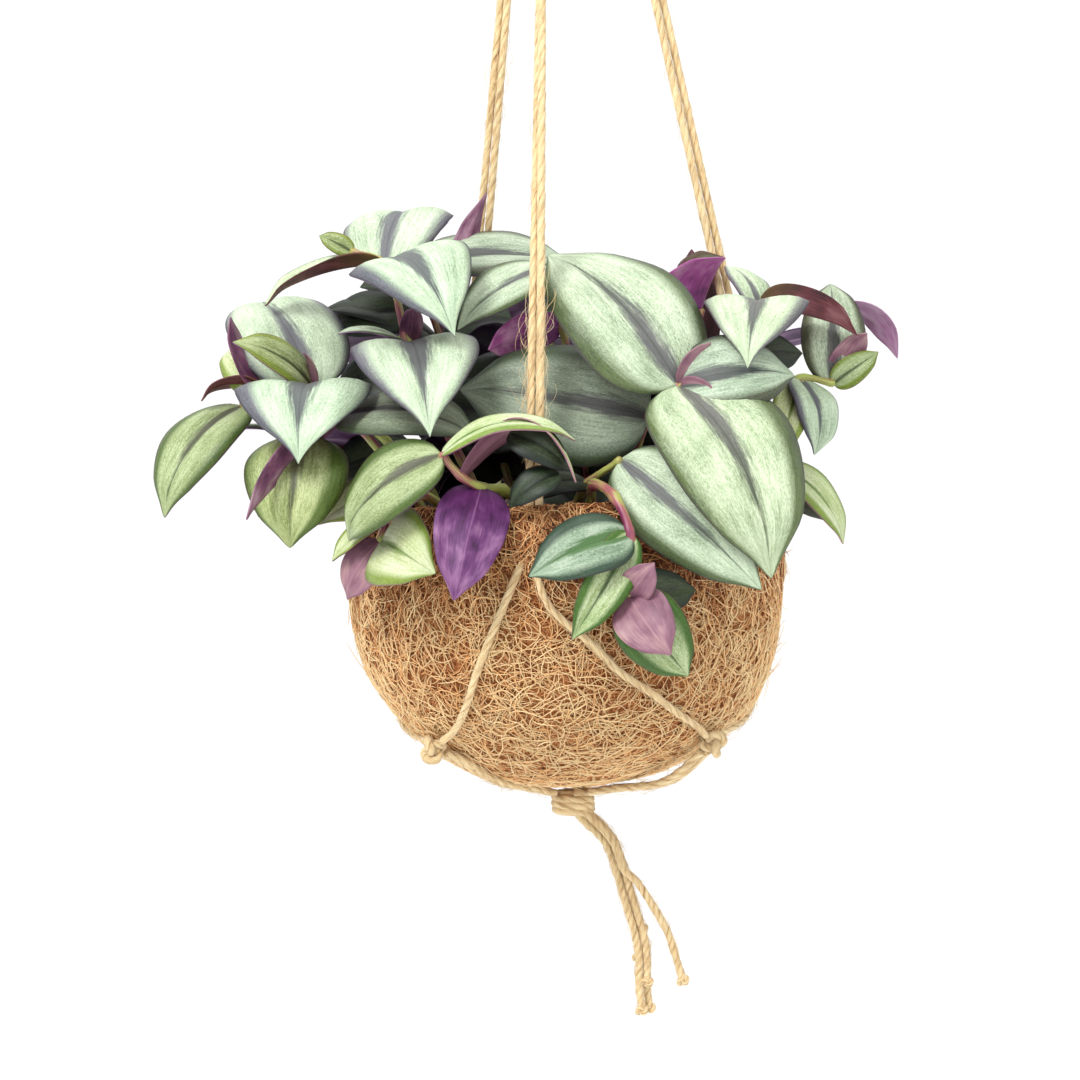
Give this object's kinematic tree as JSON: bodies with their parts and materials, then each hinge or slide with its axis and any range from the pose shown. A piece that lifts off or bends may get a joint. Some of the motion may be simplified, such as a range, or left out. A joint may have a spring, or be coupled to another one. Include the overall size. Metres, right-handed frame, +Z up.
{
  "type": "hanging potted tradescantia",
  "caption": "Striped trailing tradescantia growing in a round coir-fibre bowl that hangs on knotted jute cords with a tassel below.",
  "frame": {"origin": "inside the top of the hanging loop, where a hook bears", "axes": "+Z up, -Y towards the front of the pot as the picture shows it, +X to its right"},
  "size_m": [0.2983, 0.2788, 0.6423],
  "materials": {
    "coir": "matt coconut fibre",
    "soil": "matt dark potting soil",
    "jute": "matt pale twisted jute",
    "leafy_stem": "satin leaf, silver-green stripes above and purple below"
  },
  "bodies": {
    "root": {"bottom_knot": "jute", "coir_bowl": "coir", "hanging_loop": "jute", "leg_back_a": "jute", "leg_back_b": "jute", "leg_front_a": "jute", "leg_front_b": "jute", "leg_right_a": "jute", "leg_right_b": "jute", "potting_soil": "soil", "side_knot_left": "jute", "side_knot_rear": "jute", "side_knot_right": "jute", "stem_centre": "leafy_stem", "stem_far_right": "leafy_stem", "stem_front_left": "leafy_stem", "stem_front_right": "leafy_stem", "stem_left": "leafy_stem", "stem_left_low": "leafy_stem", "stem_left_top": "leafy_stem", "stem_low_left": "leafy_stem", "stem_low_right": "leafy_stem", "stem_rear_1": "leafy_stem", "stem_rear_2": "leafy_stem", "stem_rear_3": "leafy_stem", "stem_rear_4": "leafy_stem", "stem_rear_5": "leafy_stem", "stem_rear_6": "leafy_stem", "stem_right_mid": "leafy_stem", "stem_right_rear": "leafy_stem", "stem_right_top": "leafy_stem", "stem_top": "leafy_stem", "stem_top_left": "leafy_stem", "tail_1": "jute", "tail_2": "jute", "tail_3": "jute", "tail_4": "jute", "tail_5": "jute", "tail_6": "jute", "top_knot": "jute", "under_strand_left_a": "jute", "under_strand_left_b": "jute", "under_strand_rear_a": "jute", "under_strand_rear_b": "jute", "under_strand_right_a": "jute", "under_strand_right_b": "jute", "wall_strand_back_a": "jute", "wall_strand_back_b": "jute", "wall_strand_front_a": "jute", "wall_strand_front_b": "jute", "wall_strand_right_a": "jute", "wall_strand_right_b": "jute"}
  },
  "joints": []
}
